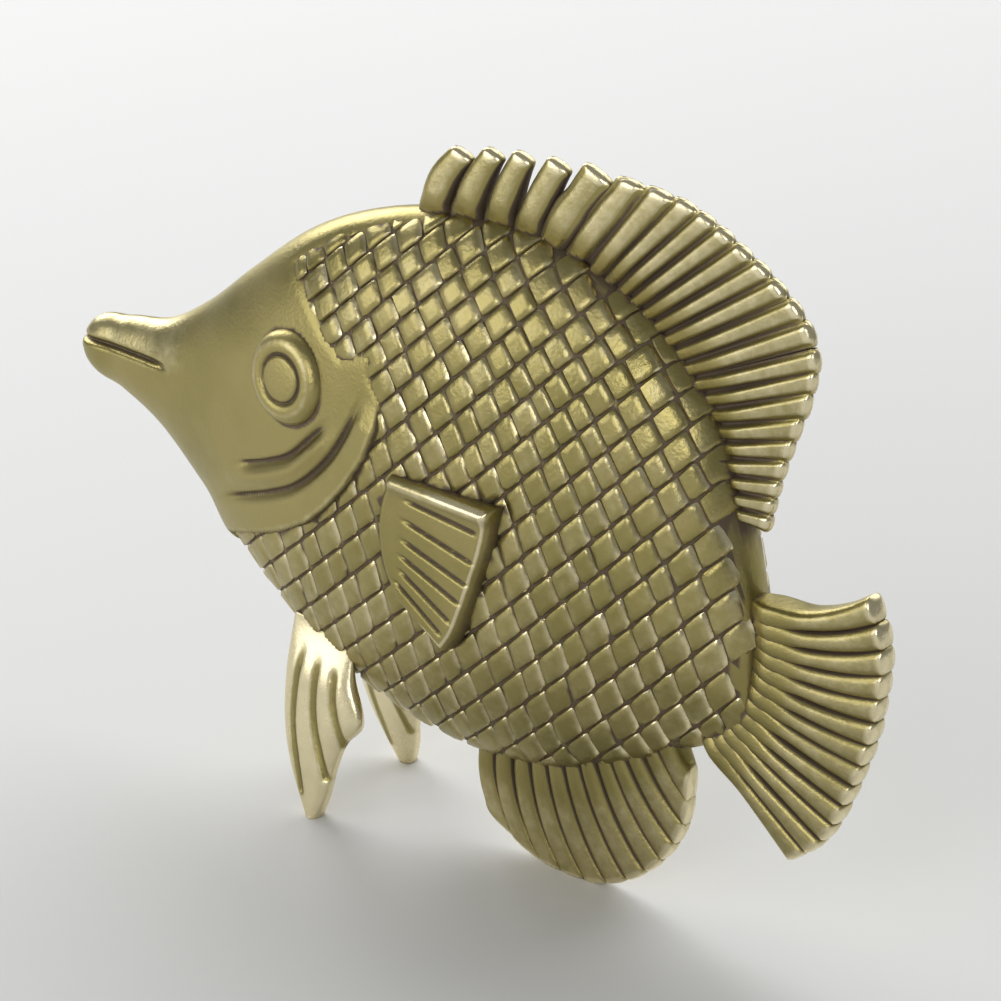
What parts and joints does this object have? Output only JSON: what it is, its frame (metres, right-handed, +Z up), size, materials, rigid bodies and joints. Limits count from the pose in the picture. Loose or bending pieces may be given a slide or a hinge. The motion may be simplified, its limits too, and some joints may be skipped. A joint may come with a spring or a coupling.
{
  "type": "fish figurine",
  "caption": "Small antique-finish brass butterfly fish with a long snout, scaled flanks and ribbed fins, an ornament that stands on its pelvic and anal fins.",
  "frame": {"origin": "on the ground under the middle of the fish", "axes": "+X from the snout to the tail, +Y to the fish's right side, +Z up"},
  "size_m": [0.052, 0.011, 0.0396],
  "materials": {
    "antique_brass": "satin cast brass with dark patina in the grooves and bright worn edges"
  },
  "bodies": {
    "root": {"body": "antique_brass", "dorsal_fin": "antique_brass", "tail_fin": "antique_brass", "anal_fin": "antique_brass", "left_pectoral_fin": "antique_brass", "right_pectoral_fin": "antique_brass", "left_pelvic_fin": "antique_brass", "right_pelvic_fin": "antique_brass", "left_eye": "antique_brass", "right_eye": "antique_brass"}
  },
  "joints": []
}
